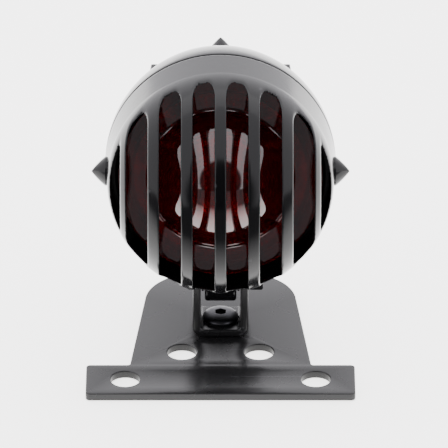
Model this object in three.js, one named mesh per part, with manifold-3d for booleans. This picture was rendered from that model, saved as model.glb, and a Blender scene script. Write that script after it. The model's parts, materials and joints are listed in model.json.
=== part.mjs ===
// Motorcycle tail light: a domed grille of vertical bars over a red lens, on a studded bullet
// housing that tilts in a clevis, and the clevis swivels on a drilled flat mounting plate.
// Millimetres, +Z up, the light shines towards -Y. The origin is on the plate's underside,
// half way between its two outer holes.
import * as THREE from "three";
import { mergeVertices } from "three/addons/utils/BufferGeometryUtils.js";
import Module from "manifold-3d";

// ---- Driving dimensions ----
const GAP = 0.3; // clearance kept between neighbouring pieces

// Mounting plate, seen from above: a wide front strip, then a tapered tongue with a round end
const PLATE_THICKNESS = 2.4;
const PLATE_FRONT = -8.4;
const PLATE_BACK = 60.7;
const STRIP_HALF_WIDTH = 38.9;
const STRIP_BACK = 7.9;
const TONGUE_FRONT_HALF_WIDTH = 26.3;
const TONGUE_BACK_HALF_WIDTH = 20.6;
const TONGUE_CORNER_RADIUS = 16;
const MOUNT_HOLE_RADIUS = 4.25;
const OUTER_HOLE = { x: 27.5, y: 0 };
const INNER_HOLE = { x: 11.2, y: 15.2 };

// Clevis, a U of bent strip that stands on the plate
const CLEVIS_Y = 29.8;
const CLEVIS_DEPTH = 14;
const CLEVIS_HALF_WIDTH = 8.1;
const CLEVIS_STRIP = 2.3;
const CLEVIS_BASE = PLATE_THICKNESS + GAP;
const PIVOT_HEIGHT = 20;
const PIVOT_BOLT_RADIUS = 2.5;
const WASHER_THICKNESS = 0.6;
const NUT_THICKNESS = 4;
const SWIVEL_SCREW_RADIUS = 2;

// Head: the dome's centre, and the angle that the light is tilted up by
const HEAD_Y = 7.5;
const HEAD_Z = 64.2;
const HEAD_TILT = THREE.MathUtils.degToRad(10);

// Grille cover: half a hollow ball with slots, then a skirt that slips over the housing's neck
const DOME_RADIUS = 32.4;
const DOME_INNER_RADIUS = 28.8;
const SKIRT_BACK = 14;
const SKIRT_BACK_RADIUS = 33.1;
const SKIRT_BORE_RADIUS = 29.6;
const SKIRT_STEP = 1.1; // how far behind the dome's centre the bore widens
const BAR_COUNT = 7;
const BAR_PITCH = 9.5;
const BAR_WIDTH = 3.35;
const OUTER_BAR = { x: 27.65, width: 1.8 }; // the first and last bars are narrower
const SLOT_CIRCLE_RADIUS = 31.8; // the slots' ends lie on this circle
const SLOT_BACK = 4;

// Lens and its gasket
const LENS_RADIUS = 24; // the dome is part of an ellipsoid, longer along the light's axis
const LENS_LENGTH = 30;
const LENS_CENTRE = 16;
const LENS_WALL = 2.5;
const LENS_BRIM_RADIUS = 27.5;
const LENS_FLANGE_RADIUS = 29.3;
const LENS_FLANGE_FRONT = SKIRT_STEP + GAP;
const LENS_BACK = 3;
const GASKET_BACK = 4.3;
const GASKET_INNER_RADIUS = 26;

// Bullet housing: a neck inside the skirt, a shoulder, then half an ellipsoid cut off flat
const NECK_FRONT = GASKET_BACK + GAP;
const NECK_RADIUS = SKIRT_BORE_RADIUS - GAP;
const NECK_BORE_RADIUS = 26.8;
const SHOULDER = SKIRT_BACK + GAP;
const BULLET_LENGTH = 40;
const BULLET_WALL = 2.2;
const BULLET_BACK = 53;
const CABLE_HOLE_RADIUS = 4;

// Pointed studs on the housing, and the pointed screws that hold the grille
const STUD_COUNT = 8;
const STUD_Y = 41;
const STUD_LEAN = THREE.MathUtils.degToRad(34); // how far the studs lean back
const STUD_BASE_RADIUS = 3.9;
const STUD_HEIGHT = 4.6;
const SPIKE_SHANK_RADIUS = 1.25;
const GRILLE_SCREW_Y = 7.5;
const GRILLE_SCREW_TIP = 37;
const POINT_RADIUS = 0.4;

// Lug under the housing, with the threaded stud that goes up into it
const LUG_HALF_WIDTH = 4.6;
const LUG_EYE_RADIUS = 7.8;
const LUG_NECK_HALF_DEPTH = 6.2;
const LUG_STUD_RADIUS = 4;
const LUG_STUD_TOP = -15;
const BOSS_RADIUS = 8.6;
const BOSS_TOP = -24.2;

// Lamp parts inside
const SOCKET_FRONT = 18.5;
const SOCKET_BACK = 43.2;
const SOCKET_RADIUS = 8.6;
const SOCKET_BORE_RADIUS = 7.8;
const BULB_BASE_RADIUS = 7.5;
const BULB_BASE_FRONT = 19.6;
const BULB_BASE_BACK = 35;
const CONTACT_OFFSET = 3.4;

// ---- Materials ----
const finish = (color, roughness, metalness) =>
  new THREE.MeshStandardMaterial({ color, roughness, metalness });
const GLOSS_BLACK = finish(0x0d0d10, 0.18, 0.3);
const SATIN_BLACK = finish(0x2a2a2c, 0.5, 0.2);
const BLACK_STEEL = finish(0x18181a, 0.4, 0.8);
const ZINC = finish(0xa8aaad, 0.4, 1);
const BRASS = finish(0xb08d45, 0.35, 1);
const RUBBER = finish(0x121212, 0.9, 0);
const BRIGHT_METAL = finish(0xd8d8d8, 0.12, 1);
const PHENOLIC = finish(0x5a3a22, 0.6, 0);
const RED_LENS = finish(0x8a0508, 0.08, 0);
RED_LENS.transparent = true;
RED_LENS.opacity = 0.8;
const CLEAR_GLASS = finish(0xf2f2f2, 0.03, 0);
CLEAR_GLASS.transparent = true;
CLEAR_GLASS.opacity = 0.3;

// ---- Solids ----
const wasm = await Module();
wasm.setup();

// A closed geometry as a solid that can be joined and cut. Triangles that shrink to a line at
// a pole are dropped.
function solid(geometry) {
  const bare = geometry.index ? geometry.toNonIndexed() : geometry.clone();
  bare.deleteAttribute("normal");
  bare.deleteAttribute("uv");
  const merged = mergeVertices(bare, 1e-4);
  const index = merged.index.array;
  const kept = [];
  for (let i = 0; i < index.length; i += 3) {
    const [a, b, c] = index.slice(i, i + 3);
    if (a !== b && b !== c && c !== a) kept.push(a, b, c);
  }
  const vertProperties = new Float32Array(merged.attributes.position.array);
  const triVerts = new Uint32Array(kept);
  return new wasm.Manifold(new wasm.Mesh({ numProp: 3, vertProperties, triVerts }));
}

// A solid's triangles as a geometry.
function geometryOf(body) {
  const mesh = body.getMesh();
  const geometry = new THREE.BufferGeometry();
  geometry.setAttribute("position", new THREE.BufferAttribute(mesh.vertProperties, 3));
  geometry.setIndex(new THREE.BufferAttribute(mesh.triVerts, 1));
  geometry.computeVertexNormals();
  return geometry;
}

const join = (...geometries) => geometries.map(solid).reduce((sum, next) => sum.add(next));
const cut = (body, ...tools) => tools.reduce((rest, tool) => rest.subtract(solid(tool)), body);

// ---- Shapes ----

// A profile [radius, y] turned about the Y axis. It runs towards -Y on the outside and back
// towards +Y on the inside, or starts and ends on the axis.
function revolve(profile, sides = 32) {
  const points = profile.map(([radius, y]) => new THREE.Vector2(radius, y));
  return new THREE.LatheGeometry(points, sides);
}

// A ring of rectangular section about the Y axis.
function ring(innerRadius, outerRadius, front, back, sides = 32) {
  return revolve(
    [
      [innerRadius, front],
      [outerRadius, front],
      [outerRadius, back],
      [innerRadius, back],
      [innerRadius, front],
    ],
    sides,
  );
}

// Turns a shape that lies along Y so that it lies along another axis.
function along(axis, geometry) {
  if (axis === "x") geometry.rotateZ(-Math.PI / 2);
  if (axis === "z") geometry.rotateX(Math.PI / 2);
  return geometry;
}

// A round rod along an axis, between two places on it.
function rod(axis, radius, from, to, sides = 24) {
  const geometry = new THREE.CylinderGeometry(radius, radius, to - from, sides);
  geometry.translate(0, (from + to) / 2, 0);
  return along(axis, geometry);
}

// A hexagonal prism along Y, measured across its flats.
function hexagon(acrossFlats, from, to) {
  const corner = acrossFlats / Math.sqrt(3);
  const geometry = new THREE.CylinderGeometry(corner, corner, to - from, 6);
  return geometry.translate(0, (from + to) / 2, 0);
}

// A closed outline through corners [u, v, radius], each corner rounded to its radius.
function roundedOutline(corners, steps = 6) {
  const outline = [];
  corners.forEach(([u, v, radius], i) => {
    const corner = new THREE.Vector2(u, v);
    if (radius === 0) {
      outline.push(corner);
      return;
    }
    const [lastU, lastV] = corners.at(i - 1);
    const [nextU, nextV] = corners[(i + 1) % corners.length];
    const back = new THREE.Vector2(lastU - u, lastV - v).normalize();
    const ahead = new THREE.Vector2(nextU - u, nextV - v).normalize();
    const halfAngle = Math.acos(back.dot(ahead)) / 2;
    const inward = back.clone().add(ahead).normalize();
    const centre = corner.clone().addScaledVector(inward, radius / Math.sin(halfAngle));
    const start = corner.clone().addScaledVector(back, radius / Math.tan(halfAngle));
    const sweep = (Math.PI - 2 * halfAngle) * Math.sign(ahead.cross(back));
    for (let step = 0; step <= steps; step += 1) {
      outline.push(start.clone().rotateAround(centre, (sweep * step) / steps));
    }
  });
  return outline;
}

// An outline in the plane across an axis, thickened along that axis. Its coordinates are
// (x, y) for axis z, (x, z) for axis y and (y, z) for axis x.
function slab(axis, outline, from, to, holes = []) {
  const shape = new THREE.Shape(outline);
  holes.forEach(({ x, y, radius }) => {
    shape.holes.push(new THREE.Path().absarc(x, y, radius, 0, 2 * Math.PI));
  });
  const depth = to - from;
  const geometry = new THREE.ExtrudeGeometry(shape, {
    depth,
    bevelEnabled: false,
    curveSegments: 14,
  });
  if (axis === "z") return geometry.translate(0, 0, from);
  if (axis === "y") return geometry.rotateX(Math.PI / 2).translate(0, to, 0);
  return geometry.rotateX(Math.PI / 2).rotateZ(Math.PI / 2).translate(from, 0, 0);
}

// Points on an ellipse's arc about the Y axis, as a profile. Angle 0 is at the widest radius
// and a quarter turn is on the axis, towards the end that length points at.
function arcProfile(radius, length, centreY, fromAngle, toAngle, steps) {
  return Array.from({ length: steps + 1 }, (_, step) => {
    const angle = fromAngle + ((toAngle - fromAngle) * step) / steps;
    return [radius * Math.cos(angle), centreY + length * Math.sin(angle)];
  });
}

// The angle on such an arc where it is a given distance along Y from its centre.
const angleAt = (distance, length) => Math.asin(distance / length);

const QUARTER_TURN = Math.PI / 2;

// ---- Groups ----
const light = new THREE.Group();
const clevisFrame = new THREE.Group();
clevisFrame.position.set(0, CLEVIS_Y, 0);
const head = new THREE.Group();
head.position.set(0, HEAD_Y, HEAD_Z);
head.rotation.x = -HEAD_TILT;
light.add(clevisFrame, head);

// The pivot's place in the head's own frame, which is tilted.
const pivotInHead = new THREE.Vector3(0, CLEVIS_Y - HEAD_Y, PIVOT_HEIGHT - HEAD_Z).applyAxisAngle(
  new THREE.Vector3(1, 0, 0),
  HEAD_TILT,
);

function addPiece(parent, name, shape, material) {
  const geometry = shape.isBufferGeometry ? shape : geometryOf(shape);
  const mesh = new THREE.Mesh(geometry, material);
  mesh.name = name;
  parent.add(mesh);
  return mesh;
}

// ---- Mounting plate ----
function basePlate() {
  const outline = roundedOutline([
    [-STRIP_HALF_WIDTH, PLATE_FRONT, 1.2],
    [STRIP_HALF_WIDTH, PLATE_FRONT, 1.2],
    [STRIP_HALF_WIDTH, STRIP_BACK, 1.2],
    [TONGUE_FRONT_HALF_WIDTH, STRIP_BACK, 0.8],
    [TONGUE_BACK_HALF_WIDTH, PLATE_BACK, TONGUE_CORNER_RADIUS],
    [-TONGUE_BACK_HALF_WIDTH, PLATE_BACK, TONGUE_CORNER_RADIUS],
    [-TONGUE_FRONT_HALF_WIDTH, STRIP_BACK, 0.8],
    [-STRIP_HALF_WIDTH, STRIP_BACK, 1.2],
  ]);
  const mountHoles = [OUTER_HOLE, INNER_HOLE].flatMap(({ x, y }) => [
    { x: -x, y, radius: MOUNT_HOLE_RADIUS },
    { x, y, radius: MOUNT_HOLE_RADIUS },
  ]);
  const screwHole = { x: 0, y: CLEVIS_Y, radius: SWIVEL_SCREW_RADIUS + GAP };
  return slab("z", outline, 0, PLATE_THICKNESS, [...mountHoles, screwHole]);
}
addPiece(light, "base_plate", basePlate(), SATIN_BLACK);

// ---- Swivel screw: a domed head on the clevis's web, a shank flush with the underside ----
function swivelScrew() {
  const headBottom = CLEVIS_BASE + CLEVIS_STRIP + GAP;
  const headRadius = 5.2;
  const headHeight = 2.1;
  const profile = [
    [0, 0.1],
    [SWIVEL_SCREW_RADIUS, 0.1],
    [SWIVEL_SCREW_RADIUS, headBottom],
    [headRadius, headBottom],
    ...arcProfile(headRadius, headHeight - 0.6, headBottom + 0.6, 0, QUARTER_TURN, 5),
  ];
  profile.at(-1)[0] = 0;
  const screw = solid(along("z", revolve(profile, 24)));
  const recess = along("z", hexagon(3, headBottom + 0.9, headBottom + headHeight + 1));
  return cut(screw, recess);
}
addPiece(clevisFrame, "swivel_screw", swivelScrew(), BLACK_STEEL);

// ---- Clevis ----
function clevis() {
  const top = PIVOT_HEIGHT + CLEVIS_DEPTH / 2;
  const innerHalfWidth = CLEVIS_HALF_WIDTH - CLEVIS_STRIP;
  const halfDepth = CLEVIS_DEPTH / 2;
  const section = roundedOutline([
    [-CLEVIS_HALF_WIDTH, CLEVIS_BASE, 3],
    [CLEVIS_HALF_WIDTH, CLEVIS_BASE, 3],
    [CLEVIS_HALF_WIDTH, top, 0],
    [innerHalfWidth, top, 0],
    [innerHalfWidth, CLEVIS_BASE + CLEVIS_STRIP, 1],
    [-innerHalfWidth, CLEVIS_BASE + CLEVIS_STRIP, 1],
    [-innerHalfWidth, top, 0],
    [-CLEVIS_HALF_WIDTH, top, 0],
  ]);
  const sideView = roundedOutline(
    [
      [-halfDepth, CLEVIS_BASE - 1, 0],
      [halfDepth, CLEVIS_BASE - 1, 0],
      [halfDepth, top, halfDepth * 0.999],
      [-halfDepth, top, halfDepth * 0.999],
    ],
    10,
  );
  const strip = solid(slab("y", section, -halfDepth - 1, halfDepth + 1));
  const arms = strip.intersect(solid(slab("x", sideView, -10, 10)));
  const pivotHole = rod("x", PIVOT_BOLT_RADIUS + GAP, -10, 10);
  pivotHole.translate(0, 0, PIVOT_HEIGHT);
  const screwHole = rod("z", SWIVEL_SCREW_RADIUS + GAP, 0, CLEVIS_BASE + CLEVIS_STRIP + 1);
  return cut(arms, pivotHole, screwHole);
}
addPiece(clevisFrame, "clevis_bracket", clevis(), SATIN_BLACK);

// ---- Pivot bolt, nut and washers, all about the X axis through the clevis's arms ----
const pivotFrame = new THREE.Group();
pivotFrame.position.set(0, 0, PIVOT_HEIGHT);
clevisFrame.add(pivotFrame);

function pivotBolt() {
  const headUnderside = -CLEVIS_HALF_WIDTH - GAP;
  const headHeight = 2.7;
  const headRadius = 4.6;
  const end = CLEVIS_HALF_WIDTH + 2 * GAP + NUT_THICKNESS + 0.6;
  const profile = [
    ...arcProfile(headRadius, -headHeight + 0.5, headUnderside - 0.5, QUARTER_TURN, 0, 5),
    [headRadius, headUnderside],
    [PIVOT_BOLT_RADIUS, headUnderside],
    [PIVOT_BOLT_RADIUS, end - 0.5],
    [PIVOT_BOLT_RADIUS - 0.5, end],
    [0, end],
  ];
  profile[0][0] = 0;
  const bolt = solid(along("x", revolve(profile, 24)));
  const recess = along("x", hexagon(3, headUnderside - headHeight - 1, headUnderside - 1));
  return cut(bolt, recess);
}
addPiece(pivotFrame, "pivot_bolt", pivotBolt(), BLACK_STEEL);

function nut(acrossFlats, holeRadius, from, to) {
  return cut(solid(hexagon(acrossFlats, from, to)), rod("y", holeRadius, from - 1, to + 1));
}
const pivotNutFace = CLEVIS_HALF_WIDTH + GAP;
const pivotNut = nut(8, PIVOT_BOLT_RADIUS + GAP, pivotNutFace, pivotNutFace + NUT_THICKNESS);
addPiece(pivotFrame, "pivot_nut", along("x", geometryOf(pivotNut)), BLACK_STEEL);

for (const [side, name] of [
  [-1, "pivot_washer_left"],
  [1, "pivot_washer_right"],
]) {
  const middle = side * (LUG_HALF_WIDTH + GAP + WASHER_THICKNESS / 2);
  const washer = ring(
    PIVOT_BOLT_RADIUS + GAP,
    5,
    middle - WASHER_THICKNESS / 2,
    middle + WASHER_THICKNESS / 2,
    24,
  );
  addPiece(pivotFrame, name, along("x", washer), ZINC);
}

// ---- Bullet housing ----

// The bullet's outside, from a place along it to its flat end, grown or shrunk by an offset.
function bulletProfile(offset, steps) {
  const radius = SKIRT_BACK_RADIUS + offset;
  const length = BULLET_LENGTH + offset;
  const end = angleAt(BULLET_BACK + Math.min(offset, 0) - SHOULDER, length);
  return arcProfile(radius, length, SHOULDER, 0, end, steps);
}

// Places a shape that stands along +Y from the origin at one of the studs' seats.
function placeAtStud(geometry, index, radius) {
  return geometry
    .rotateX(QUARTER_TURN - STUD_LEAN)
    .translate(0, STUD_Y, radius)
    .rotateY((index * 2 * Math.PI) / STUD_COUNT);
}

const studSeatRadius =
  SKIRT_BACK_RADIUS * Math.cos(angleAt(STUD_Y - SHOULDER, BULLET_LENGTH));

function housing() {
  const inner = bulletProfile(-BULLET_WALL, 6).reverse();
  const profile = [
    [NECK_BORE_RADIUS, NECK_FRONT],
    [NECK_RADIUS, NECK_FRONT],
    [NECK_RADIUS, SHOULDER],
    ...bulletProfile(0, 9),
    [CABLE_HOLE_RADIUS, BULLET_BACK],
    [CABLE_HOLE_RADIUS, inner[0][1]],
    ...inner,
    [NECK_BORE_RADIUS, SHOULDER],
    [NECK_BORE_RADIUS, NECK_FRONT],
  ];
  const core = [[0, SHOULDER], ...bulletProfile(-BULLET_WALL / 2, 8), [0, BULLET_BACK - 1.1]];
  const boss = rod("z", BOSS_RADIUS, -BULLET_LENGTH, BOSS_TOP);
  boss.translate(0, pivotInHead.y, 0);
  // Turned by half a facet, so that each stud's hole is in the middle of a facet.
  const sides = 5 * STUD_COUNT;
  const turned = (points) => solid(revolve(points, sides).rotateY(Math.PI / sides));
  const shell = turned(profile).add(solid(boss).intersect(turned(core)));
  const lugHole = rod("z", LUG_STUD_RADIUS + GAP, -BULLET_LENGTH, 0);
  lugHole.translate(0, pivotInHead.y, 0);
  const grilleScrewHole = rod("x", SPIKE_SHANK_RADIUS + GAP, -40, 40, 10);
  grilleScrewHole.translate(0, GRILLE_SCREW_Y, 0);
  const studHoles = Array.from({ length: STUD_COUNT }, (_, index) =>
    placeAtStud(rod("y", SPIKE_SHANK_RADIUS + GAP, -6, 6, 10), index, studSeatRadius),
  );
  return cut(shell, lugHole, grilleScrewHole, ...studHoles);
}
addPiece(head, "housing_shell", housing(), GLOSS_BLACK);

// ---- Pointed studs and screws ----

// A cone with a blunted tip on a short collar, and a shank below it, along +Y.
function spike(baseRadius, height, shankLength) {
  const collar = 0.6;
  const tipCentre = height - POINT_RADIUS * Math.SQRT2;
  const profile = [
    [0, -shankLength],
    [SPIKE_SHANK_RADIUS, -shankLength],
    [SPIKE_SHANK_RADIUS, 0],
    [baseRadius, 0],
    [baseRadius, collar],
    ...arcProfile(POINT_RADIUS, POINT_RADIUS, tipCentre, Math.PI / 4, QUARTER_TURN, 1),
  ];
  profile.at(-1)[0] = 0;
  return revolve(profile, 12);
}

for (let index = 0; index < STUD_COUNT; index += 1) {
  const seat = studSeatRadius;
  const stud = spike(STUD_BASE_RADIUS, STUD_HEIGHT, 4).translate(0, 2 * GAP, 0);
  addPiece(head, `housing_stud_${index + 1}`, placeAtStud(stud, index, seat), GLOSS_BLACK);
}

for (const [side, name] of [
  [-1, "grille_screw_left"],
  [1, "grille_screw_right"],
]) {
  const seat = SKIRT_BACK_RADIUS + GAP;
  const screw = spike(4.2, GRILLE_SCREW_TIP - seat, 5.6);
  screw.translate(0, seat, 0).rotateZ(-side * QUARTER_TURN).translate(0, GRILLE_SCREW_Y, 0);
  addPiece(head, name, screw, GLOSS_BLACK);
}

// ---- Grille cover ----
function grille() {
  const profile = [
    [SKIRT_BORE_RADIUS, SKIRT_STEP],
    [DOME_INNER_RADIUS, SKIRT_STEP],
    ...arcProfile(DOME_INNER_RADIUS, -DOME_INNER_RADIUS, 0, 0, QUARTER_TURN, 7),
    ...arcProfile(DOME_RADIUS, -DOME_RADIUS, 0, QUARTER_TURN, 0, 9),
    [SKIRT_BACK_RADIUS, SKIRT_BACK],
    [SKIRT_BORE_RADIUS, SKIRT_BACK],
    [SKIRT_BORE_RADIUS, SKIRT_STEP],
  ];
  const shell = solid(revolve(profile, 48));
  const slotZone = solid(rod("y", SLOT_CIRCLE_RADIUS, -40, SLOT_BACK, 48));
  const bar = (x, width) => new THREE.BoxGeometry(width, 100, 80).translate(x, 0, 0);
  const bars = [bar(-OUTER_BAR.x, OUTER_BAR.width), bar(OUTER_BAR.x, OUTER_BAR.width)];
  const fullBars = BAR_COUNT - 2;
  for (let index = 0; index < fullBars; index += 1) {
    bars.push(bar((index - (fullBars - 1) / 2) * BAR_PITCH, BAR_WIDTH));
  }
  const slots = cut(slotZone, ...bars);
  const screwHole = rod("x", SPIKE_SHANK_RADIUS + GAP, -40, 40, 12);
  screwHole.translate(0, GRILLE_SCREW_Y, 0);
  return cut(shell.subtract(slots), screwHole);
}
addPiece(head, "grille_cover", grille(), GLOSS_BLACK);

// ---- Lens and gasket ----
function lens() {
  const dome = (inset, backY, fromPole, steps) => {
    const length = LENS_LENGTH - inset;
    const foot = angleAt(LENS_CENTRE - backY, length);
    const [from, to] = fromPole ? [QUARTER_TURN, foot] : [foot, QUARTER_TURN];
    return arcProfile(LENS_RADIUS - inset, -length, LENS_CENTRE, from, to, steps);
  };
  const profile = [
    ...dome(0, 0, true, 7),
    [LENS_BRIM_RADIUS, LENS_FLANGE_FRONT],
    [LENS_FLANGE_RADIUS, LENS_FLANGE_FRONT],
    [LENS_FLANGE_RADIUS, LENS_BACK],
    ...dome(LENS_WALL, LENS_BACK, false, 6),
  ];
  profile[0][0] = 0;
  profile.at(-1)[0] = 0;
  return revolve(profile, 36);
}
addPiece(head, "red_lens", lens(), RED_LENS);
const gasket = ring(GASKET_INNER_RADIUS, LENS_FLANGE_RADIUS, LENS_BACK + GAP, GASKET_BACK, 32);
addPiece(head, "lens_gasket", gasket, RUBBER);

// ---- Mounting lug, with its washer and nut inside the housing ----
function mountLug() {
  const { y, z } = pivotInHead;
  const blockTop = -24;
  const eye = rod("x", LUG_EYE_RADIUS, -LUG_HALF_WIDTH, LUG_HALF_WIDTH, 36).translate(0, y, z);
  const block = new THREE.BoxGeometry(2 * LUG_HALF_WIDTH, 2 * LUG_NECK_HALF_DEPTH, blockTop - z);
  block.translate(0, y, (blockTop + z) / 2);
  const outside = [[0, SHOULDER - 10], [SKIRT_BACK_RADIUS + GAP, SHOULDER - 10]];
  const clearance = [...outside, ...bulletProfile(GAP, 12), [0, BULLET_BACK]];
  const body = cut(join(eye, block), revolve(clearance, 48));
  const stud = rod("z", LUG_STUD_RADIUS, z + LUG_EYE_RADIUS / 2, LUG_STUD_TOP).translate(0, y, 0);
  const eyeHole = rod("x", PIVOT_BOLT_RADIUS + GAP, -10, 10).translate(0, y, z);
  return cut(body.add(solid(stud)), eyeHole);
}
addPiece(head, "mount_lug", mountLug(), GLOSS_BLACK);

const lugWasherBottom = BOSS_TOP + GAP;
const lugNutBottom = lugWasherBottom + 1.2 + GAP;
const lugWasher = ring(LUG_STUD_RADIUS + GAP, 7, lugWasherBottom, lugWasherBottom + 1.2, 28);
addPiece(head, "lug_washer", along("z", lugWasher).translate(0, pivotInHead.y, 0), ZINC);
const lugNut = geometryOf(nut(13, LUG_STUD_RADIUS + GAP, lugNutBottom, lugNutBottom + 6));
addPiece(head, "lug_nut", along("z", lugNut).translate(0, pivotInHead.y, 0), ZINC);

// ---- Reflector ----
function reflector() {
  const rim = 24.6;
  const throat = SOCKET_RADIUS + 2 * GAP;
  const throatY = 21;
  const rimY = 5.4;
  const wall = 0.8;
  const steps = 5;
  const dish = (shift) =>
    Array.from({ length: steps + 1 }, (_, step) => {
      const radius = rim + ((throat - rim) * step) / steps;
      const depth = (rim * rim - radius * radius) / (rim * rim - throat * throat);
      return [radius, rimY + (throatY - rimY) * depth + shift];
    });
  const flangeRadius = NECK_BORE_RADIUS - 0.4;
  const flangeFront = rimY - 0.5;
  return revolve(
    [
      [rim, flangeFront],
      [flangeRadius, flangeFront],
      [flangeRadius, rimY + wall],
      ...dish(wall),
      ...dish(0).reverse(),
      [rim, flangeFront],
    ],
    32,
  );
}
addPiece(head, "reflector", reflector(), BRIGHT_METAL);

// ---- Bayonet socket ----
const PIN_Y = 30;
const PIN_RADIUS = 1;
const PRESS_TRAVEL = 2;

function socket() {
  const flangeFront = 22.1;
  const profile = [
    [SOCKET_BORE_RADIUS, SOCKET_FRONT],
    [SOCKET_RADIUS, SOCKET_FRONT],
    [SOCKET_RADIUS, flangeFront],
    [SOCKET_RADIUS + 2.9, flangeFront],
    [SOCKET_RADIUS + 2.9, flangeFront + 1],
    [SOCKET_RADIUS, flangeFront + 1],
    [SOCKET_RADIUS, SOCKET_BACK],
    [CONTACT_OFFSET + 2, SOCKET_BACK],
    [CONTACT_OFFSET + 2, SOCKET_BACK - 1.2],
    [SOCKET_BORE_RADIUS, SOCKET_BACK - 1.2],
    [SOCKET_BORE_RADIUS, SOCKET_FRONT],
  ];
  // Each bayonet pin goes in along the entry slot, round by a twist and back into the seat.
  const slotWidth = 2 * (PIN_RADIUS + GAP);
  const slotBack = PIN_Y + PIN_RADIUS + PRESS_TRAVEL + GAP;
  const twist = THREE.MathUtils.degToRad(30);
  const slot = (front, width, angle) =>
    new THREE.BoxGeometry(30, slotBack - front, width)
      .translate(0, (slotBack + front) / 2, 0)
      .rotateY(angle);
  const seat = slot(PIN_Y - PIN_RADIUS - GAP, slotWidth, 0);
  const entry = slot(SOCKET_FRONT - 1, slotWidth, twist);
  const link = slot(slotBack - slotWidth, SOCKET_RADIUS * twist + 1, twist / 2);
  return cut(solid(revolve(profile, 24)), seat, entry, link);
}
addPiece(head, "bulb_socket", socket(), ZINC);

const insulatorFront = 37.6;
const insulatorBack = SOCKET_BACK - 1.2 - GAP;
function insulator() {
  const disc = solid(rod("y", SOCKET_BORE_RADIUS - GAP, insulatorFront, insulatorBack, 20));
  const tools = [-CONTACT_OFFSET, CONTACT_OFFSET].flatMap((x) => [
    rod("y", 1.5, insulatorFront - 1, insulatorBack + 1, 12).translate(x, 0, 0),
    rod("y", 2.7, insulatorFront - 1, insulatorFront + 2.9, 12).translate(x, 0, 0),
  ]);
  return cut(disc, ...tools);
}
addPiece(head, "socket_insulator", insulator(), PHENOLIC);

// ---- Cable grommet in the housing's end ----
function grommet() {
  const innerFace = BULLET_BACK - BULLET_WALL - GAP;
  const outerFace = BULLET_BACK + GAP;
  const bore = 1.8;
  return revolve(
    [
      [bore, innerFace - 2],
      [5.2, innerFace - 2],
      [5.2, innerFace],
      [CABLE_HOLE_RADIUS - GAP, innerFace],
      [CABLE_HOLE_RADIUS - GAP, outerFace],
      [5.6, outerFace],
      [5.6, outerFace + 1.2],
      [3.6, outerFace + 2],
      [2.9, outerFace + 5],
      [bore, outerFace + 5],
      [bore, innerFace - 2],
    ],
    20,
  );
}
addPiece(head, "cable_grommet", grommet(), RUBBER);

// ---- Bulb ----
function bulbBase() {
  const wall = 0.6;
  const cup = solid(
    revolve(
      [
        [BULB_BASE_RADIUS - wall, BULB_BASE_FRONT],
        [BULB_BASE_RADIUS, BULB_BASE_FRONT],
        [BULB_BASE_RADIUS, BULB_BASE_BACK],
        [0, BULB_BASE_BACK],
        [0, BULB_BASE_BACK - 1.5],
        [BULB_BASE_RADIUS - wall, BULB_BASE_BACK - 1.5],
        [BULB_BASE_RADIUS - wall, BULB_BASE_FRONT],
      ],
      28,
    ),
  );
  const pins = [-1, 1].map((side) =>
    rod("x", PIN_RADIUS, 0, 1.4, 12).translate(
      side > 0 ? BULB_BASE_RADIUS - 0.3 : -BULB_BASE_RADIUS - 1.1,
      PIN_Y,
      0,
    ),
  );
  return cup.add(join(...pins));
}
addPiece(head, "bulb_base", bulbBase(), BRASS);

function bulbGlass() {
  const bulgeRadius = 12.4;
  const bulgeY = 1.5;
  const neckRadius = 6.6;
  const neckBack = BULB_BASE_FRONT - GAP;
  const wall = 0.7;
  const shell = (inset, steps) => [
    ...arcProfile(bulgeRadius - inset, -12 + inset, bulgeY, QUARTER_TURN, 0, steps),
    [bulgeRadius - 1.2 - inset, bulgeY + 6],
    [neckRadius - inset, bulgeY + 14],
    [neckRadius - inset, neckBack],
  ];
  const outside = shell(0, 5);
  const inside = shell(wall, 4).reverse();
  outside[0][0] = 0;
  inside.at(-1)[0] = 0;
  return revolve([...outside, ...inside], 24);
}
addPiece(head, "bulb_glass", bulbGlass(), CLEAR_GLASS);

function filament() {
  const postX = 2.4;
  const coilY = 2;
  const stemFront = 10;
  const stem = rod("y", 3, stemFront, BULB_BASE_FRONT - 2 * GAP, 16);
  const posts = [-postX, postX].map((x) =>
    rod("y", 0.35, coilY, stemFront + 1, 8).translate(x, 0, 0),
  );
  const coil = rod("x", 0.55, -postX - 0.4, postX + 0.4, 8).translate(0, coilY, 0);
  return join(stem, ...posts, coil);
}
addPiece(head, "bulb_filament", filament(), ZINC);

// ---- Sprung contacts behind the bulb ----
class Helix extends THREE.Curve {
  constructor(radius, front, back, turns) {
    super();
    Object.assign(this, { radius, front, back, turns });
  }
  getPoint(t, target = new THREE.Vector3()) {
    const angle = 2 * Math.PI * this.turns * t;
    const y = THREE.MathUtils.lerp(this.front, this.back, t);
    return target.set(this.radius * Math.cos(angle), y, this.radius * Math.sin(angle));
  }
}

function contactPlunger() {
  const face = BULB_BASE_BACK + GAP;
  return revolve(
    [
      [0, face],
      [2.2, face],
      [2.2, face + 1],
      [1.2, face + 1],
      [1.2, insulatorBack + 0.4],
      [0, insulatorBack + 0.4],
    ],
    12,
  );
}

function contactSpring() {
  const wireRadius = 0.2;
  const front = BULB_BASE_BACK + 2 * GAP + 1 + wireRadius;
  const turns = 3;
  const section = new THREE.Shape().absarc(0, 0, wireRadius, 0, 2 * Math.PI);
  return new THREE.ExtrudeGeometry(section, {
    steps: 9 * turns,
    bevelEnabled: false,
    curveSegments: 3,
    extrudePath: new Helix(1.85, front, front + 1.5, turns),
  });
}

for (const [side, word] of [
  [-1, "left"],
  [1, "right"],
]) {
  const x = side * CONTACT_OFFSET;
  addPiece(head, `contact_plunger_${word}`, contactPlunger().translate(x, 0, 0), BRASS);
  addPiece(head, `contact_spring_${word}`, contactSpring().translate(x, 0, 0), ZINC);
}

export default light;
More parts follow.
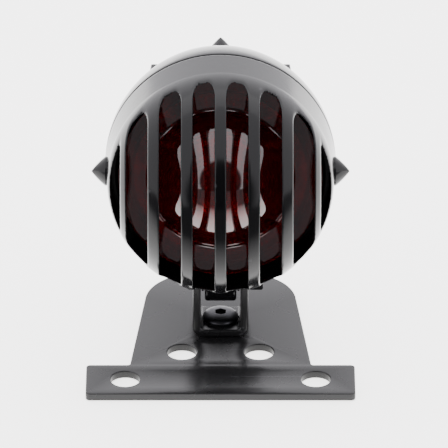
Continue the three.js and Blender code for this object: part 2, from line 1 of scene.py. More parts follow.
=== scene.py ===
"""Looks of the motorcycle tail light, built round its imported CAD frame.

Shapes are worked out in millimetres, in the plate's frame or in the tilted head's frame, and
are turned into metres when their meshes are made.
"""
import json
import math

import bmesh
import bpy
import numpy as np
from mathutils import Matrix, Vector


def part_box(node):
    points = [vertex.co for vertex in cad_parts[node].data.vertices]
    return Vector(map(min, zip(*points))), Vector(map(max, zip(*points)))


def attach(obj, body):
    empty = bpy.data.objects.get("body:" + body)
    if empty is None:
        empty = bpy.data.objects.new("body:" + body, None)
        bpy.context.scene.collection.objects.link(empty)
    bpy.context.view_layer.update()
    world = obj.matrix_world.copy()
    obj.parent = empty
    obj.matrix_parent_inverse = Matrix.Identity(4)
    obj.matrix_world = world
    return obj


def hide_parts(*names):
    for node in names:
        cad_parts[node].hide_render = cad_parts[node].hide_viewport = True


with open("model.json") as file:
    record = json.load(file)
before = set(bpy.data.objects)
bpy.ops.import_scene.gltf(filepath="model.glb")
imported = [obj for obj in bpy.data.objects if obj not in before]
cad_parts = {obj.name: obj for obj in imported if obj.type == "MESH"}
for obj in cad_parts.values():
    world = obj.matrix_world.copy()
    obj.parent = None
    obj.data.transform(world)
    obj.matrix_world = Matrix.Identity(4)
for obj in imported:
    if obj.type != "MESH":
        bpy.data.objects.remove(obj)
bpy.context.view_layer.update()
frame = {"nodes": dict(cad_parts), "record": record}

MM = 0.001


def box_mm(node):
    """The lowest and highest corner of a CAD node, in millimetres."""
    low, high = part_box(node)
    return low / MM, high / MM


# ---- Driving dimensions ----
PLATE_LOW, PLATE_HIGH = box_mm("base_plate")
PLATE_THICKNESS = PLATE_HIGH.z
STRIP_HALF_WIDTH = PLATE_HIGH.x
STRIP_BACK = 7.9
TONGUE_FRONT_HALF_WIDTH = 26.3
TONGUE_BACK_HALF_WIDTH = 20.6
TONGUE_CORNER_RADIUS = 16
MOUNT_HOLE_RADIUS = 4.25
OUTER_HOLE = (27.5, 0)
INNER_HOLE = (11.2, 15.2)

CLEVIS_LOW, CLEVIS_HIGH = box_mm("clevis_bracket")
CLEVIS_Y = (CLEVIS_LOW.y + CLEVIS_HIGH.y) / 2
CLEVIS_HALF_DEPTH = (CLEVIS_HIGH.y - CLEVIS_LOW.y) / 2
CLEVIS_HALF_WIDTH = CLEVIS_HIGH.x
CLEVIS_STRIP = 2.3
PIVOT_HEIGHT = CLEVIS_HIGH.z - CLEVIS_HALF_DEPTH
BOLT_RADIUS = 2.5
BOLT_HEAD_RADIUS = 4.6
BOLT_HEAD_HEIGHT = 2.7
NUT_THICKNESS = 4
NUT_ACROSS_FLATS = 8
SWIVEL_SHANK_RADIUS = 2
SWIVEL_HEAD_RADIUS = 5.2
SWIVEL_HEAD_HEIGHT = 2.1
RECESS_ACROSS_FLATS = 3
HOLE_CLEARANCE = 0.3

HEAD_CENTRE = Vector((0, 7.5, 64.2))
HEAD_TILT = math.radians(10)
DOME_RADIUS = 32.4
DOME_INNER_RADIUS = 28.8
SKIRT_BACK = 14
SKIRT_BACK_RADIUS = 33.1
SKIRT_BORE_RADIUS = 29.6
SKIRT_STEP = 1.1
BAR_COUNT = 7
BAR_PITCH = 9.5
BAR_WIDTH = 3.35
OUTER_BAR_X = 27.65
OUTER_BAR_WIDTH = 1.8
SLOT_CIRCLE_RADIUS = 31.8
SLOT_BACK = 4
SLOT_CORNER_WIDTH = 2.2
OUTER_SLOT_CORNER_WIDTH = 0.5
SPIKE_Y = 7.5
SPIKE_HOLE_RADIUS = 1.55
LENS_RADIUS = 24
LENS_LENGTH = 30
LENS_CENTRE = 16
LENS_WALL = 2.5
LENS_BRIM_RADIUS = 27.5
LENS_FLANGE_RADIUS = 29.3
LENS_FLANGE_FRONT = 1.4
LENS_BACK = 3
SHOULDER = 14.3
BULLET_LENGTH = 40
BULLET_WALL = 2.2
BULLET_BACK = 53
NECK_BORE_RADIUS = 26.8
NECK_FRONT = 4.6
CABLE_HOLE_RADIUS = 4
STUD_COUNT = 8
STUD_Y = 41
STUD_LEAN = math.radians(34)
STUD_BASE_RADIUS = 3.9
STUD_HEIGHT = 4.5
SCREW_BASE_RADIUS = 4.2
SCREW_TIP_X = 37
LUG_HALF_WIDTH = 4.6
LUG_EYE_RADIUS = 7.8
LUG_NECK_HALF_DEPTH = 6.2
LUG_STUD_RADIUS = 4
LUG_STUD_TOP = -15

HEAD = Matrix.Translation(HEAD_CENTRE) @ Matrix.Rotation(-HEAD_TILT, 4, "X")
CLEVIS = Matrix.Translation((0, CLEVIS_Y, 0))
PIVOT = Matrix.Translation((0, CLEVIS_Y, PIVOT_HEIGHT))
PIVOT_IN_HEAD = HEAD.inverted() @ PIVOT.translation
WORLD = Matrix.Identity(4)


# ---- Outlines and profiles ----
def rounded(corners, steps=8):
    """A closed outline through corners (u, v, radius), each corner rounded to its radius."""
    outline = []
    for index, (u, v, radius) in enumerate(corners):
        corner = Vector((u, v))
        if radius == 0:
            outline.append((u, v))
            continue
        back = (Vector(corners[index - 1][:2]) - corner).normalized()
        ahead = (Vector(corners[(index + 1) % len(corners)][:2]) - corner).normalized()
        half = back.angle(ahead) / 2
        centre = corner + (back + ahead).normalized() * (radius / math.sin(half))
        start = corner + back * (radius / math.tan(half)) - centre
        turn = math.copysign(math.pi - 2 * half, ahead.x * back.y - ahead.y * back.x)
        for step in range(steps + 1):
            point = centre + Matrix.Rotation(turn * step / steps, 2) @ start
            outline.append((point.x, point.y))
    return outline


def arc(radius, length, centre, start, end, steps):
    """Points on an ellipse about the Y axis as (radius, y), from one angle to another."""
    angles = np.linspace(start, end, steps + 1)
    return [(max(radius * math.cos(a), 0.0), centre + length * math.sin(a)) for a in angles]


def revolved(profile, segments=96):
    """Vertices and faces of a profile of (radius, y) turned about Y. A closed profile ends on
    its first point, and any other starts and ends on the axis."""
    closed = profile[0] == profile[-1]
    points = profile[:-1] if closed else profile
    vertices, rings = [], []
    for radius, y in points:
        count = 1 if radius < 1e-6 else segments
        angles = [2 * math.pi * k / count for k in range(count)]
        rings.append([len(vertices) + k for k in range(count)])
        vertices += [(radius * math.sin(a), y, radius * math.cos(a)) for a in angles]
    following = rings[1:] + rings[:1] if closed else rings[1:]
    faces = []
    for a, b in zip(rings, following):
        for k in range(segments):
            corners = [a[k % len(a)], b[k % len(b)], b[(k + 1) % len(b)], a[(k + 1) % len(a)]]
            faces.append(list(dict.fromkeys(corners)))
    return vertices, faces


# ---- Meshes ----
def mesh_of(name, vertices, faces, matrix=WORLD, sharp_degrees=35):
    """A smooth-shaded mesh in metres from a shape in millimetres in the frame of a matrix."""
    mesh = bpy.data.meshes.new(name)
    placed = [(matrix @ Vector(v)) * MM for v in vertices]
    mesh.from_pydata(placed, [], faces)
    shape = bmesh.new()
    shape.from_mesh(mesh)
    bmesh.ops.recalc_face_normals(shape, faces=shape.faces)
    shape.to_mesh(mesh)
    shape.free()
    mesh.shade_smooth()
    mesh.set_sharp_from_angle(angle=math.radians(sharp_degrees))
    return mesh


def finished(node, mesh, material, body):
    """Shows a mesh in place of a CAD node."""
    piece = bpy.data.objects.new(node + "_finished", mesh)
    bpy.context.scene.collection.objects.link(piece)
    mesh.materials.clear()
    mesh.materials.append(material)
    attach(piece, body)
    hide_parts(node)


def smooth_max(a, b, width):
    """The larger of two distances, rounded where they cross: a filleted cut or corner."""
    near = np.maximum(width - np.abs(a - b), 0) / width
    return np.maximum(a, b) + near * near * width / 4


def smooth_min(a, b, width):
    return -smooth_max(-a, -b, width)


def slopes(points, field, reach=0.02):
    """The gradient of a field at many points."""
    result = np.empty_like(points)
    for axis in range(3):
        step = np.zeros(3)
        step[axis] = reach
        result[:, axis] = (field(points + step) - field(points - step)) / (2 * reach)
    return result


def netted(field, low, high, cell):
    """Cell centres along the surface where a field is zero, and the quads that join them."""
    axes = [np.arange(start, end, cell) for start, end in zip(low, high)]
    grid = np.stack(np.meshgrid(*axes, indexing="ij"), axis=-1)
    solid = field(grid.reshape(-1, 3)).reshape(grid.shape[:3]) < 0
    corners = sum(
        solid[i:solid.shape[0] - 1 + i, j:solid.shape[1] - 1 + j, k:solid.shape[2] - 1 + k].astype(int)
        for i in (0, 1) for j in (0, 1) for k in (0, 1)
    )
    crossed = (corners > 0) & (corners < 8)
    number = np.full(crossed.shape, -1)
    number[crossed] = np.arange(crossed.sum())
    centres = grid[:-1, :-1, :-1][crossed] + cell / 2

    quads = []
    for axis in range(3):
        order = (axis, (axis + 1) % 3, (axis + 2) % 3)
        points = solid.transpose(order)
        cells = number.transpose(order)
        i, j, k = np.nonzero(points[:-1, 1:-1, 1:-1] != points[1:, 1:-1, 1:-1])
        around = (cells[i, j, k], cells[i, j + 1, k], cells[i, j + 1, k + 1], cells[i, j, k + 1])
        quad = np.stack(around, axis=1)
        backward = ~points[i, j + 1, k + 1]
        quad[backward] = quad[backward][:, ::-1]
        quads.append(quad)
    return centres, np.concatenate(quads)


def settled(node, field, cell, matrix=WORLD, rounds=10):
    """An even mesh of the surface where a field is zero, over a CAD node's own box.

    The field takes points in millimetres in the frame of the matrix. Its gradient gives the
    shading normals, so fillets and flats shade as the field says.
    """
    most_move = 0.4
    shape = frame["nodes"][node]
    to_local = np.array(matrix.inverted())
    outline = np.array([shape.matrix_world @ vertex.co for vertex in shape.data.vertices]) / MM
    outline = outline @ to_local[:3, :3].T + to_local[:3, 3]
    points, quads = netted(field, outline.min(0) - 3 * cell, outline.max(0) + 3 * cell, cell)
    for _ in range(rounds):
        slope = slopes(points, field)
        steep = np.maximum((slope * slope).sum(1), 0.1)
        move = slope * (field(points) / steep)[:, None]
        size = np.linalg.norm(move, axis=1, keepdims=True)
        points -= move * np.minimum(1, most_move / np.maximum(size, 1e-9))
    normals = slopes(points, field)
    normals /= np.maximum(np.linalg.norm(normals, axis=1, keepdims=True), 1e-9)
    to_world = np.array(matrix)
    placed = (points @ to_world[:3, :3].T + to_world[:3, 3]) * MM
    mesh = bpy.data.meshes.new(node + "_settled")
    mesh.vertices.add(len(placed))
    mesh.vertices.foreach_set("co", placed.ravel())
    mesh.loops.add(quads.size)
    mesh.loops.foreach_set("vertex_index", quads.ravel())
    mesh.polygons.add(len(quads))
    mesh.polygons.foreach_set("loop_start", np.arange(0, quads.size, 4))
    mesh.update(calc_edges=True)
    mesh.shade_smooth()
    mesh.normals_split_custom_set_from_vertices(normals @ to_world[:3, :3].T)
    return mesh


# ---- Materials ----
def new_material(name, color, roughness, metallic=0.0):
    """A material with its nodes, links and shader, with plain values on the shader."""
    material = bpy.data.materials.new(name)
    material.use_nodes = True
    nodes, links = material.node_tree.nodes, material.node_tree.links
    shader = nodes["Principled BSDF"]
    shader.inputs["Base Color"].default_value = (*color, 1)
    shader.inputs["Roughness"].default_value = roughness
    shader.inputs["Metallic"].default_value = metallic
    return material, nodes, links, shader


def noise(nodes, links, grain_mm, detail=3.0, stretch=(1, 1, 1)):
    """Noise whose features are about grain_mm across, in the object's own space."""
    coordinates = nodes.new("ShaderNodeTexCoord")
    mapping = nodes.new("ShaderNodeMapping")
    mapping.inputs["Scale"].default_value = stretch
    texture = nodes.new("ShaderNodeTexNoise")
    texture.inputs["Scale"].default_value = 1 / (grain_mm * MM)
    texture.inputs["Detail"].default_value = detail
    links.new(coordinates.outputs["Object"], mapping.inputs["Vector"])
    links.new(mapping.outputs["Vector"], texture.inputs["Vector"])
    return texture.outputs["Fac"]


def span(nodes, links, value, low, high, from_low=0.3, from_high=0.7):
    """A value moved from one range to another."""
    shift = nodes.new("ShaderNodeMapRange")
    shift.inputs["From Min"].default_value = from_low
    shift.inputs["From Max"].default_value = from_high
    shift.inputs["To Min"].default_value = low
    shift.inputs["To Max"].default_value = high
    links.new(value, shift.inputs["Value"])
    return shift.outputs["Result"]


def mixed(nodes, links, amount, first, second):
    """A colour between two colours."""
    mix = nodes.new("ShaderNodeMix")
    mix.data_type = "RGBA"
    mix.inputs["A"].default_value = (*first, 1)
    mix.inputs["B"].default_value = (*second, 1)
    links.new(amount, mix.inputs["Factor"])
    return mix.outputs["Result"]


def add_bump(nodes, links, shader, height, depth_mm):
    bump = nodes.new("ShaderNodeBump")
    bump.inputs["Distance"].default_value = depth_mm * MM
    bump.inputs["Strength"].default_value = 1.0
    links.new(height, bump.inputs["Height"])
    links.new(bump.outputs["Normal"], shader.inputs["Normal"])


def worn_edges(nodes, links, sharpness_low, sharpness_high):
    """From 0 on flats to 1 on the sharpest outside edges."""
    geometry = nodes.new("ShaderNodeNewGeometry")
    return span(nodes, links, geometry.outputs["Pointiness"], 0, 1, sharpness_low, sharpness_high)


def gloss_black():
    """Gloss black enamel with faint orange peel and slightly greyer edges."""
    deep, rubbed = (0.0025, 0.0025, 0.003), (0.02, 0.02, 0.022)
    material, nodes, links, shader = new_material("gloss_black_enamel", deep, 0.16)
    shader.inputs["Specular IOR Level"].default_value = 0.23
    smears = noise(nodes, links, 14, 4)
    links.new(span(nodes, links, smears, 0.12, 0.2), shader.inputs["Roughness"])
    edges = worn_edges(nodes, links, 0.54, 0.62)
    links.new(mixed(nodes, links, edges, deep, rubbed), shader.inputs["Base Color"])
    add_bump(nodes, links, shader, noise(nodes, links, 1.6, 1), 0.006)
    return material


def satin_black():
    """Satin black powder coat: fine grain, uneven sheen and greyer edges."""
    deep, rubbed = (0.01, 0.01, 0.0105), (0.04, 0.04, 0.043)
    material, nodes, links, shader = new_material("satin_black_powder", deep, 0.26)
    shader.inputs["Specular IOR Level"].default_value = 0.35
    patches = noise(nodes, links, 18, 5)
    links.new(span(nodes, links, patches, 0.22, 0.31), shader.inputs["Roughness"])
    edges = worn_edges(nodes, links, 0.53, 0.62)
    links.new(mixed(nodes, links, edges, deep, rubbed), shader.inputs["Base Color"])
    add_bump(nodes, links, shader, noise(nodes, links, 0.45, 2), 0.008)
    return material


def bare_metal(name, color, darker, roughness, grain_mm=0.5, spread=0.1):
    """Metal with uneven tone and fine scuffing."""
    material, nodes, links, shader = new_material(name, color, roughness, metallic=1.0)
    stains = noise(nodes, links, 5, 5)
    links.new(mixed(nodes, links, span(nodes, links, stains, 0, 1), color, darker),
              shader.inputs["Base Color"])
    scuffs = noise(nodes, links, grain_mm, 3, stretch=(1, 6, 1))
    links.new(span(nodes, links, scuffs, roughness - spread, roughness + spread),
              shader.inputs["Roughness"])
    add_bump(nodes, links, shader, scuffs, 0.008)
    return material


def black_rubber():
    material, nodes, links, shader = new_material("black_rubber", (0.02, 0.02, 0.02), 0.75)
    shader.inputs["Sheen Weight"].default_value = 0.2
    dust = noise(nodes, links, 6, 4)
    links.new(mixed(nodes, links, span(nodes, links, dust, 0, 1), (0.016, 0.016, 0.016),
                    (0.035, 0.034, 0.033)), shader.inputs["Base Color"])
    links.new(span(nodes, links, dust, 0.65, 0.85), shader.inputs["Roughness"])
    add_bump(nodes, links, shader, noise(nodes, links, 0.3, 2), 0.03)
    return material


def red_plastic():
    """Clear red moulded plastic, deep in tone, with faint flow marks."""
    deep, pale = (0.3, 0.001, 0.003), (0.4, 0.002, 0.005)
    material, nodes, links, shader = new_material("clear_red_plastic", deep, 0.03)
    shader.inputs["Transmission Weight"].default_value = 0.95
    shader.inputs["IOR"].default_value = 1.49
    shader.inputs["Coat Weight"].default_value = 1.0
    shader.inputs["Coat Roughness"].default_value = 0.02
    shader.inputs["Coat IOR"].default_value = 1.45
    flow = noise(nodes, links, 7, 3)
    links.new(mixed(nodes, links, span(nodes, links, flow, 0, 1), deep, pale),
              shader.inputs["Base Color"])
    links.new(span(nodes, links, flow, 0.02, 0.04), shader.inputs["Roughness"])
    return material


def clear_glass():
    material, nodes, links, shader = new_material("bulb_clear_glass", (0.96, 0.97, 0.97), 0.02)
    shader.inputs["Transmission Weight"].default_value = 1.0
    shader.inputs["IOR"].default_value = 1.45
    waves = noise(nodes, links, 9, 2)
    links.new(span(nodes, links, waves, 0.01, 0.04), shader.inputs["Roughness"])
    return material


def bright_reflector():
    """Vacuum-metallised reflector."""
    material, nodes, links, shader = new_material("reflector_bright", (0.9, 0.9, 0.9), 0.1, 1.0)
    haze = noise(nodes, links, 5, 4)
    links.new(span(nodes, links, haze, 0.06, 0.16), shader.inputs["Roughness"])
    links.new(mixed(nodes, links, span(nodes, links, haze, 0, 1), (0.92, 0.92, 0.92),
                    (0.8, 0.8, 0.81)), shader.inputs["Base Color"])
    return material


def brown_insulator():
    material, nodes, links, shader = new_material("brown_insulator", (0.16, 0.08, 0.04), 0.55)
    specks = noise(nodes, links, 0.8, 5)
    links.new(mixed(nodes, links, span(nodes, links, specks, 0, 1), (0.18, 0.09, 0.045),
                    (0.1, 0.05, 0.026)), shader.inputs["Base Color"])
    add_bump(nodes, links, shader, specks, 0.02)
    return material


MATERIALS = {
    "gloss_black": gloss_black(),
    "satin_black": satin_black(),
    "black_steel": bare_metal("black_oxide_steel", (0.06, 0.06, 0.065), (0.03, 0.03, 0.034), 0.38),
    "zinc_plate": bare_metal("zinc_plated_steel", (0.62, 0.62, 0.64), (0.5, 0.5, 0.53), 0.34),
    "black_rubber": black_rubber(),
    "red_lens": red_plastic(),
    "bright_reflector": bright_reflector(),
    "brass": bare_metal("brass", (0.72, 0.5, 0.2), (0.5, 0.33, 0.13), 0.3),
    "clear_glass": clear_glass(),
    "tungsten": bare_metal("tungsten", (0.4, 0.4, 0.42), (0.3, 0.3, 0.31), 0.35, 0.2),
    "brown_insulator": brown_insulator(),
}


def paint_cad_nodes():
    """Gives every CAD node its slot's material; those that stay visible keep their shape."""
    for subpart in frame["record"]["subparts"]:
        node = frame["nodes"][subpart["node"]]
        node.data.materials.clear()
        node.data.materials.append(MATERIALS[subpart["material_slot"]])


# ---- Mounting plate ----
def plate_mesh():
    """The plate's outline with its five holes, cut from sheet with softened edges."""
    edge = 0.35
    outline = rounded([
        (-STRIP_HALF_WIDTH, PLATE_LOW.y, 1.2),
        (STRIP_HALF_WIDTH, PLATE_LOW.y, 1.2),
        (STRIP_HALF_WIDTH, STRIP_BACK, 1.2),
        (TONGUE_FRONT_HALF_WIDTH, STRIP_BACK, 0.8),
        (TONGUE_BACK_HALF_WIDTH, PLATE_HIGH.y, TONGUE_CORNER_RADIUS),
        (-TONGUE_BACK_HALF_WIDTH, PLATE_HIGH.y, TONGUE_CORNER_RADIUS),
        (-TONGUE_FRONT_HALF_WIDTH, STRIP_BACK, 0.8),
        (-STRIP_HALF_WIDTH, STRIP_BACK, 1.2),
    ], 20)
    curve = bpy.data.curves.new("plate_outline", "CURVE")
    curve.dimensions = "2D"
    curve.fill_mode = "BOTH"
    curve.extrude = (PLATE_THICKNESS / 2 - edge) * MM
    curve.bevel_depth = edge * MM
    curve.bevel_resolution = 3
    curve.offset = -edge * MM

    def add_loop(points):
        spline = curve.splines.new("POLY")
        spline.points.add(len(points) - 1)
        for target, (x, y) in zip(spline.points, points):
            target.co = (x * MM, y * MM, 0, 1)
        spline.use_cyclic_u = True

    def add_hole(x, y, radius):
        angles = np.linspace(0, 2 * math.pi, 65)[:-1]
        add_loop([(x + radius * math.cos(a), y + radius * math.sin(a)) for a in angles])

    add_loop(outline)
    for x, y in (OUTER_HOLE, INNER_HOLE):
        add_hole(x, y, MOUNT_HOLE_RADIUS)
        add_hole(-x, y, MOUNT_HOLE_RADIUS)
    add_hole(0, CLEVIS_Y, SWIVEL_SHANK_RADIUS + HOLE_CLEARANCE)
    flat = bpy.data.objects.new("plate_outline", curve)
    bpy.context.scene.collection.objects.link(flat)
    depsgraph = bpy.context.evaluated_depsgraph_get()
    mesh = bpy.data.meshes.new_from_object(flat.evaluated_get(depsgraph))
    bpy.data.objects.remove(flat)
    mesh.transform(Matrix.Translation((0, 0, PLATE_THICKNESS / 2 * MM)))
    shape = bmesh.new()
    shape.from_mesh(mesh)
    bmesh.ops.remove_doubles(shape, verts=shape.verts, dist=1e-6)
    bmesh.ops.recalc_face_normals(shape, faces=shape.faces)
    shape.to_mesh(mesh)
    shape.free()
    mesh.shade_smooth()
    mesh.set_sharp_from_angle(angle=math.radians(12))
    return mesh


# ---- Clevis ----
def rounded_u(across, up, half_width, bottom, radius):
    """Distance to the inside of an upright trough with rounded bottom corners."""
    side = np.abs(across) - (half_width - radius)
    below = bottom + radius - up
    outside = np.hypot(np.maximum(side, 0), np.maximum(below, 0))
    return outside + np.minimum(np.maximum(side, below), 0) - radius


def clevis_field(points):
    """A U of bent strip with round-topped arms, a pivot hole through them and a screw hole."""
    x, y, z = points.T
    bottom = CLEVIS_LOW.z
    outer = rounded_u(x, z, CLEVIS_HALF_WIDTH, bottom, 3)
    inner = rounded_u(x, z, CLEVIS_HALF_WIDTH - CLEVIS_STRIP, bottom + CLEVIS_STRIP, 1.4)
    above = np.maximum(z - PIVOT_HEIGHT, 0)
    outline = np.hypot(y, above) - CLEVIS_HALF_DEPTH
    strip = smooth_max(outer, -inner, 0.5)
    bracket = smooth_max(strip, outline, 0.7)
    pivot_hole = np.hypot(y, z - PIVOT_HEIGHT) - BOLT_RADIUS - HOLE_CLEARANCE
    from_screw = np.hypot(x, y) - SWIVEL_SHANK_RADIUS - HOLE_CLEARANCE
    screw_hole = np.maximum(from_screw, z - PIVOT_HEIGHT / 2)
    return np.maximum(bracket, -np.minimum(pivot_hole, screw_hole))


# ---- Screws, bolt and nut ----
def hexagon(u, v, across_flats):
    """Distance to a hexagonal outline."""
    angles = [math.radians(60 * k) for k in range(3)]
    faces = [np.abs(u * math.cos(a) + v * math.sin(a)) for a in angles]
    return np.maximum.reduce(faces) - across_flats / 2


def dome_head(distance, along, radius, height):
    """A domed screw head that stands on the plane along = 0."""
    wall = 0.5
    ball = (np.hypot(distance / radius, np.maximum(along - wall, 0) / (height - wall)) - 1) * height
    return smooth_max(ball, -along, 0.25)


def swivel_screw_field(points):
    """A domed socket screw that stands in the plate and holds the clevis's web."""
    x, y, z = points.T
    seat = CLEVIS_LOW.z + CLEVIS_STRIP + HOLE_CLEARANCE
    distance = np.hypot(x, y)
    head = dome_head(distance, z - seat, SWIVEL_HEAD_RADIUS, SWIVEL_HEAD_HEIGHT)
    shank = np.maximum.reduce([distance - SWIVEL_SHANK_RADIUS, 0.1 - z, z - seat - 1])
    recess = np.maximum(hexagon(x, y, RECESS_ACROSS_FLATS), seat + 0.9 - z)
    return smooth_max(np.minimum(head, shank), -recess, 0.2)


def pivot_bolt_field(points):
    """A domed socket bolt through both arms, with a chamfered end past its nut."""
    x, y, z = points.T
    past_nut, chamfer = 0.6, 0.5
    seat = -CLEVIS_HALF_WIDTH - HOLE_CLEARANCE
    end = CLEVIS_HALF_WIDTH + 2 * HOLE_CLEARANCE + NUT_THICKNESS + past_nut
    distance = np.hypot(y, z)
    head = dome_head(distance, seat - x, BOLT_HEAD_RADIUS, BOLT_HEAD_HEIGHT)
    tip = np.maximum(x - end, distance + x - end - BOLT_RADIUS + chamfer)
    shank = np.maximum.reduce([distance - BOLT_RADIUS, tip, seat - 1 - x])
    recess = np.maximum(hexagon(y, z, RECESS_ACROSS_FLATS), x - seat + 1)
    return smooth_max(np.minimum(head, shank), -recess, 0.2)


def pivot_nut_field(points):
    """A hexagonal nut with chamfered corners."""
    x, y, z = points.T
    near = CLEVIS_HALF_WIDTH + HOLE_CLEARANCE
    chamfer_radius, chamfer_slope = 4.1, 0.6
    distance = np.hypot(y, z)
    ends = np.maximum(near - x, x - near - NUT_THICKNESS)
    prism = np.maximum(hexagon(z, y, NUT_ACROSS_FLATS), ends)
    from_middle = np.abs(x - near - NUT_THICKNESS / 2) - NUT_THICKNESS / 2
    chamfer = chamfer_slope * (distance - chamfer_radius) + from_middle
    bored = np.maximum(prism, BOLT_RADIUS + HOLE_CLEARANCE - distance)
    return smooth_max(bored, chamfer, 0.15)


def washer_mesh(node):
    """A flat washer with rolled edges, about the pivot's axis."""
    low, high = box_mm(node)
    outer = (high.y - low.y) / 2
    inner = BOLT_RADIUS + HOLE_CLEARANCE
    profile = rounded([
        (inner, low.x, 0.1), (outer, low.x, 0.15), (outer, high.x, 0.15), (inner, high.x, 0.1),
    ], 3)
    vertices, faces = revolved(profile + profile[:1], 48)
    return mesh_of(node, vertices, faces, PIVOT @ Matrix.Rotation(-math.pi / 2, 4, "Z"))


# ---- Mounting lug ----
def bullet_distance(points, offset):
    """About how far points are outside the bullet housing's curved surface."""
    x, y, z = points.T
    radius, length = SKIRT_BACK_RADIUS + offset, BULLET_LENGTH + offset
    across, along = np.hypot(x, z), np.maximum(y - SHOULDER, 0)
    reach = np.hypot(across / radius, along / length)
    slope = np.hypot(across / radius**2, along / length**2)
    return (reach - 1) * reach / np.maximum(slope, 1e-6)


def lug_field(points):
    """An eye on a neck that stops at the housing, and the stud that goes up through its wall."""
    x, y, z = points.T
    from_pivot_y, from_pivot_z = y - PIVOT_IN_HEAD.y, z - PIVOT_IN_HEAD.z
    eye = np.hypot(from_pivot_y, from_pivot_z) - LUG_EYE_RADIUS
    neck = np.maximum(np.abs(from_pivot_y) - LUG_NECK_HALF_DEPTH, -from_pivot_z)
    side_view = smooth_min(eye, neck, 1.5)
    lug = smooth_max(side_view, np.abs(x) - LUG_HALF_WIDTH, 1.0)
    lug = np.maximum(lug, -bullet_distance(points, HOLE_CLEARANCE))
    stud = np.maximum.reduce([
        np.hypot(x, from_pivot_y) - LUG_STUD_RADIUS,
        -from_pivot_z + LUG_EYE_RADIUS / 2,
        z - LUG_STUD_TOP,
    ])
    bore = np.hypot(from_pivot_y, from_pivot_z) - BOLT_RADIUS - HOLE_CLEARANCE
    return np.maximum(np.minimum(lug, stud), -bore)


# ---- Housing ----
def housing_mesh():
    """The bullet shell, with a rolled shoulder behind the grille's skirt."""
    end = math.asin((BULLET_BACK - SHOULDER) / BULLET_LENGTH)
    inner_radius = SKIRT_BACK_RADIUS - BULLET_WALL
    inner_length = BULLET_LENGTH - BULLET_WALL
    inner_end = math.asin((BULLET_BACK - BULLET_WALL - SHOULDER) / inner_length)
    neck = SKIRT_BORE_RADIUS - HOLE_CLEARANCE
    roll = 0.5
    outside = arc(SKIRT_BACK_RADIUS, BULLET_LENGTH, SHOULDER, 0.03, end, 60)
    inside = arc(inner_radius, inner_length, SHOULDER, inner_end, 0, 40)
    shoulder = arc(roll, roll, SHOULDER + roll, -math.pi / 2, 0, 4)
    shoulder = [(SKIRT_BACK_RADIUS - roll + r, y) for r, y in shoulder]
    profile = [
        (NECK_BORE_RADIUS, NECK_FRONT),
        (neck, NECK_FRONT),
        (neck, SHOULDER),
        *shoulder,
        *outside[1:],
        (CABLE_HOLE_RADIUS, BULLET_BACK),
        (CABLE_HOLE_RADIUS, BULLET_BACK - BULLET_WALL),
        *inside,
        (NECK_BORE_RADIUS, SHOULDER),
        (NECK_BORE_RADIUS, NECK_FRONT),
    ]
    vertices, faces = revolved(profile, 128)
    return mesh_of("housing", vertices, faces, HEAD, 30)


# ---- Pointed studs and grille screws ----
def spike_mesh(node, base_radius, height, sunk, matrix):
    """A turned point with slightly swelling sides and a blunt tip, sunk a little in its seat."""
    shank, shank_length, swelling, steps = 1.25, 3, 0.3, 16
    end = -sunk - shank_length
    profile = [(0.0, end), (shank, end), (shank, -sunk), (base_radius, -sunk)]
    for step in range(steps + 1):
        share = step / steps
        blunt = 0.35 * math.sqrt(1 - share) * share**4
        profile.append((base_radius * (1 - share) * (1 + swelling * share) + blunt, height * share))
    profile[-1] = (0.0, height)
    vertices, faces = revolved(profile, 48)
    return mesh_of(node, vertices, faces, matrix)


def stud_matrix(index):
    """Where a stud stands on the bullet: +Y along its axis, in millimetres."""
    seat = SKIRT_BACK_RADIUS * math.cos(math.asin((STUD_Y - SHOULDER) / BULLET_LENGTH))
    round_axis = Matrix.Rotation(index * 2 * math.pi / STUD_COUNT, 4, "Y")
    lean = Matrix.Rotation(math.pi / 2 - STUD_LEAN, 4, "X")
    return HEAD @ round_axis @ Matrix.Translation((0, STUD_Y, seat)) @ lean


# ---- Grille ----
def grille_field(points):
    """Half a hollow ball and a skirt, cut straight back by slots with rounded ends."""
    x, y, z = points.T
    across = np.hypot(x, z)
    ball = np.hypot(across, np.minimum(y, 0))
    flare = (SKIRT_BACK_RADIUS - DOME_RADIUS) / SKIRT_BACK
    outer = ball - DOME_RADIUS - flare * np.maximum(y, 0)
    bore = np.maximum(across - SKIRT_BORE_RADIUS, SKIRT_STEP - y)
    inner = np.minimum(ball - DOME_INNER_RADIUS, bore)
    middle = (BAR_COUNT - 3) / 2
    nearest = np.clip(np.round(x / BAR_PITCH), -middle, middle) * BAR_PITCH
    bar = np.abs(x - nearest) - BAR_WIDTH / 2
    outer_bar = np.abs(np.abs(x) - OUTER_BAR_X) - OUTER_BAR_WIDTH / 2
    bars = np.minimum(bar, outer_bar)
    corner = np.where(np.abs(x) > OUTER_BAR_X, OUTER_SLOT_CORNER_WIDTH, SLOT_CORNER_WIDTH)
    lip = 0.4
    lip_lean = np.clip(ball - DOME_RADIUS + lip, 0, 2 * lip)
    slot_end = across - SLOT_CIRCLE_RADIUS + lip - lip_lean
    slot_outline = smooth_max(slot_end, -bars, corner)
    slot = np.maximum(slot_outline, y - SLOT_BACK)
    shell = smooth_max(outer, -inner, 0.5)
    shell = smooth_max(shell, y - SKIRT_BACK, 0.8)
    slotted = smooth_max(shell, -slot, 0.5)
    screw_hole = np.hypot(y - SPIKE_Y, z) - SPIKE_HOLE_RADIUS
    return np.maximum(slotted, -screw_hole)


# ---- Lens, gasket and lamp parts ----
def lens_dome(inset, back):
    """The lens's dome from its pole to where it reaches a height along the axis."""
    length = LENS_LENGTH - inset
    foot = math.asin((LENS_CENTRE - back) / length)
    return arc(LENS_RADIUS - inset, -length, LENS_CENTRE, math.pi / 2, foot, 180)


